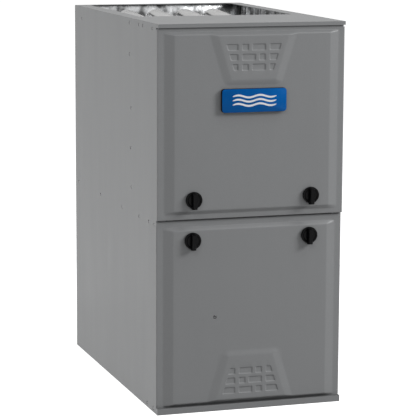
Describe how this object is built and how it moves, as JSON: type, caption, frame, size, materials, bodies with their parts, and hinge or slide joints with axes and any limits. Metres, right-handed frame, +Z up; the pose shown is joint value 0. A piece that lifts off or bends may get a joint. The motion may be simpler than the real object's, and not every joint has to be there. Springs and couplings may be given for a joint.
{
  "type": "forced air furnace",
  "caption": "Upright steel gas furnace cabinet with pressed doors, quarter turn knobs, blower below, burners and serpentine heat exchanger above, open supply top.",
  "frame": {"origin": "on the floor, at the centre of the bounding box in X and Y", "axes": "+Z up, -Y out of the doors, +X to the right of someone facing the doors"},
  "size_m": [0.4444, 0.7702, 0.889],
  "materials": {
    "grey_paint": "semi-gloss metallic grey enamel",
    "galvanised": "galvanised sheet",
    "aluminised": "aluminised steel",
    "stainless": "satin stainless",
    "black_steel": "black enamel",
    "cast_aluminium": "as cast",
    "black_plastic": "moulded",
    "grey_plastic": "moulded",
    "white_plastic": "moulded",
    "badge_blue": "gloss, bare",
    "board_green": "lacquered board",
    "ceramic_white": "unglazed",
    "sight_glass": "clear",
    "black_rubber": "matt"
  },
  "bodies": {
    "cabinet": {"casing_wrap": "grey_paint", "top_deck": "grey_paint", "bottom_rail": "grey_paint", "bottom_closure": "galvanised", "mid_rail": "galvanised", "blower_deck": "galvanised", "cell_panel": "galvanised", "exchanger_tube_1": "aluminised", "exchanger_tube_2": "aluminised", "exchanger_tube_3": "aluminised", "exchanger_tube_4": "aluminised", "coupling_box": "aluminised", "secondary_coil": "stainless", "condensate_collector": "black_plastic", "condensate_trap": "black_plastic", "inducer_housing": "black_plastic", "inducer_motor": "black_steel", "vent_pipe": "white_plastic", "burner_1": "aluminised", "burner_2": "aluminised", "burner_3": "aluminised", "burner_4": "aluminised", "burner_rack": "galvanised", "gas_manifold": "black_steel", "gas_valve": "cast_aluminium", "igniter": "ceramic_white", "flame_sensor": "ceramic_white", "rollout_switch": "stainless", "limit_switch": "stainless", "pressure_switch": "grey_plastic", "pressure_tube": "black_rubber", "blower_housing": "galvanised", "blower_motor": "black_steel", "motor_mount": "galvanised", "control_bracket": "galvanised", "control_board": "board_green", "transformer": "black_steel", "junction_box": "galvanised", "door_switch": "white_plastic", "control_harness": "black_rubber", "motor_lead": "black_rubber"},
    "upper_door_body": {"upper_door": "grey_paint", "badge_plate": "badge_blue"},
    "lower_door_body": {"lower_door": "grey_paint", "sight_glass": "sight_glass"},
    "upper_left_latch": {"upper_left_knob": "black_plastic", "upper_left_tongue": "galvanised"},
    "upper_right_latch": {"upper_right_knob": "black_plastic", "upper_right_tongue": "galvanised"},
    "lower_left_latch": {"lower_left_knob": "black_plastic", "lower_left_tongue": "galvanised"},
    "lower_right_latch": {"lower_right_knob": "black_plastic", "lower_right_tongue": "galvanised"},
    "blower_rotor": {"blower_wheel": "galvanised", "blower_shaft": "stainless"},
    "inducer_rotor": {"inducer_wheel": "grey_plastic"},
    "gas_valve_stem": {"gas_valve_knob": "black_plastic"},
    "plunger": {"door_switch_plunger": "white_plastic"}
  },
  "joints": [
    {"name": "upper_door_tilt", "type": "hinge", "parent": "cabinet", "child": "upper_door_body", "pos_m": [0, -0.35855, 0.8845], "axis": [-1, 0, 0], "range_deg": [0, 25]},
    {"name": "lower_door_tilt", "type": "hinge", "parent": "cabinet", "child": "lower_door_body", "pos_m": [0, -0.35955, 0.0035], "axis": [1, 0, 0], "range_deg": [0, 25]},
    {"name": "upper_left_latch_turn", "type": "hinge", "parent": "upper_door_body", "child": "upper_left_latch", "pos_m": [-0.14, -0.36715, 0.494], "axis": [0, -1, 0], "range_deg": [-90, 0]},
    {"name": "upper_right_latch_turn", "type": "hinge", "parent": "upper_door_body", "child": "upper_right_latch", "pos_m": [0.14, -0.36715, 0.494], "axis": [0, 1, 0], "range_deg": [-90, 0]},
    {"name": "lower_left_latch_turn", "type": "hinge", "parent": "lower_door_body", "child": "lower_left_latch", "pos_m": [-0.14, -0.35965, 0.4], "axis": [0, 1, 0], "range_deg": [-90, 0]},
    {"name": "lower_right_latch_turn", "type": "hinge", "parent": "lower_door_body", "child": "lower_right_latch", "pos_m": [0.14, -0.35965, 0.4], "axis": [0, -1, 0], "range_deg": [-90, 0]},
    {"name": "blower_spin", "type": "hinge", "parent": "cabinet", "child": "blower_rotor", "pos_m": [0, 0.03585, 0.215], "axis": [1, 0, 0], "continuous": true},
    {"name": "inducer_spin", "type": "hinge", "parent": "cabinet", "child": "inducer_rotor", "pos_m": [0, -0.22, 0.52], "axis": [0, 1, 0], "continuous": true},
    {"name": "gas_valve_turn", "type": "hinge", "parent": "cabinet", "child": "gas_valve_stem", "pos_m": [0.12, -0.293, 0.748], "axis": [0, -1, 0], "range_deg": [0, 90]},
    {"name": "plunger_slide", "type": "slide", "parent": "cabinet", "child": "plunger", "axis": [0, -1, 0], "range_m": [0, 0.005]}
  ],
  "couplings": [
    {"joint": "plunger_slide", "follows": "lower_door_tilt", "m_per_rad": 0.0114}
  ]
}
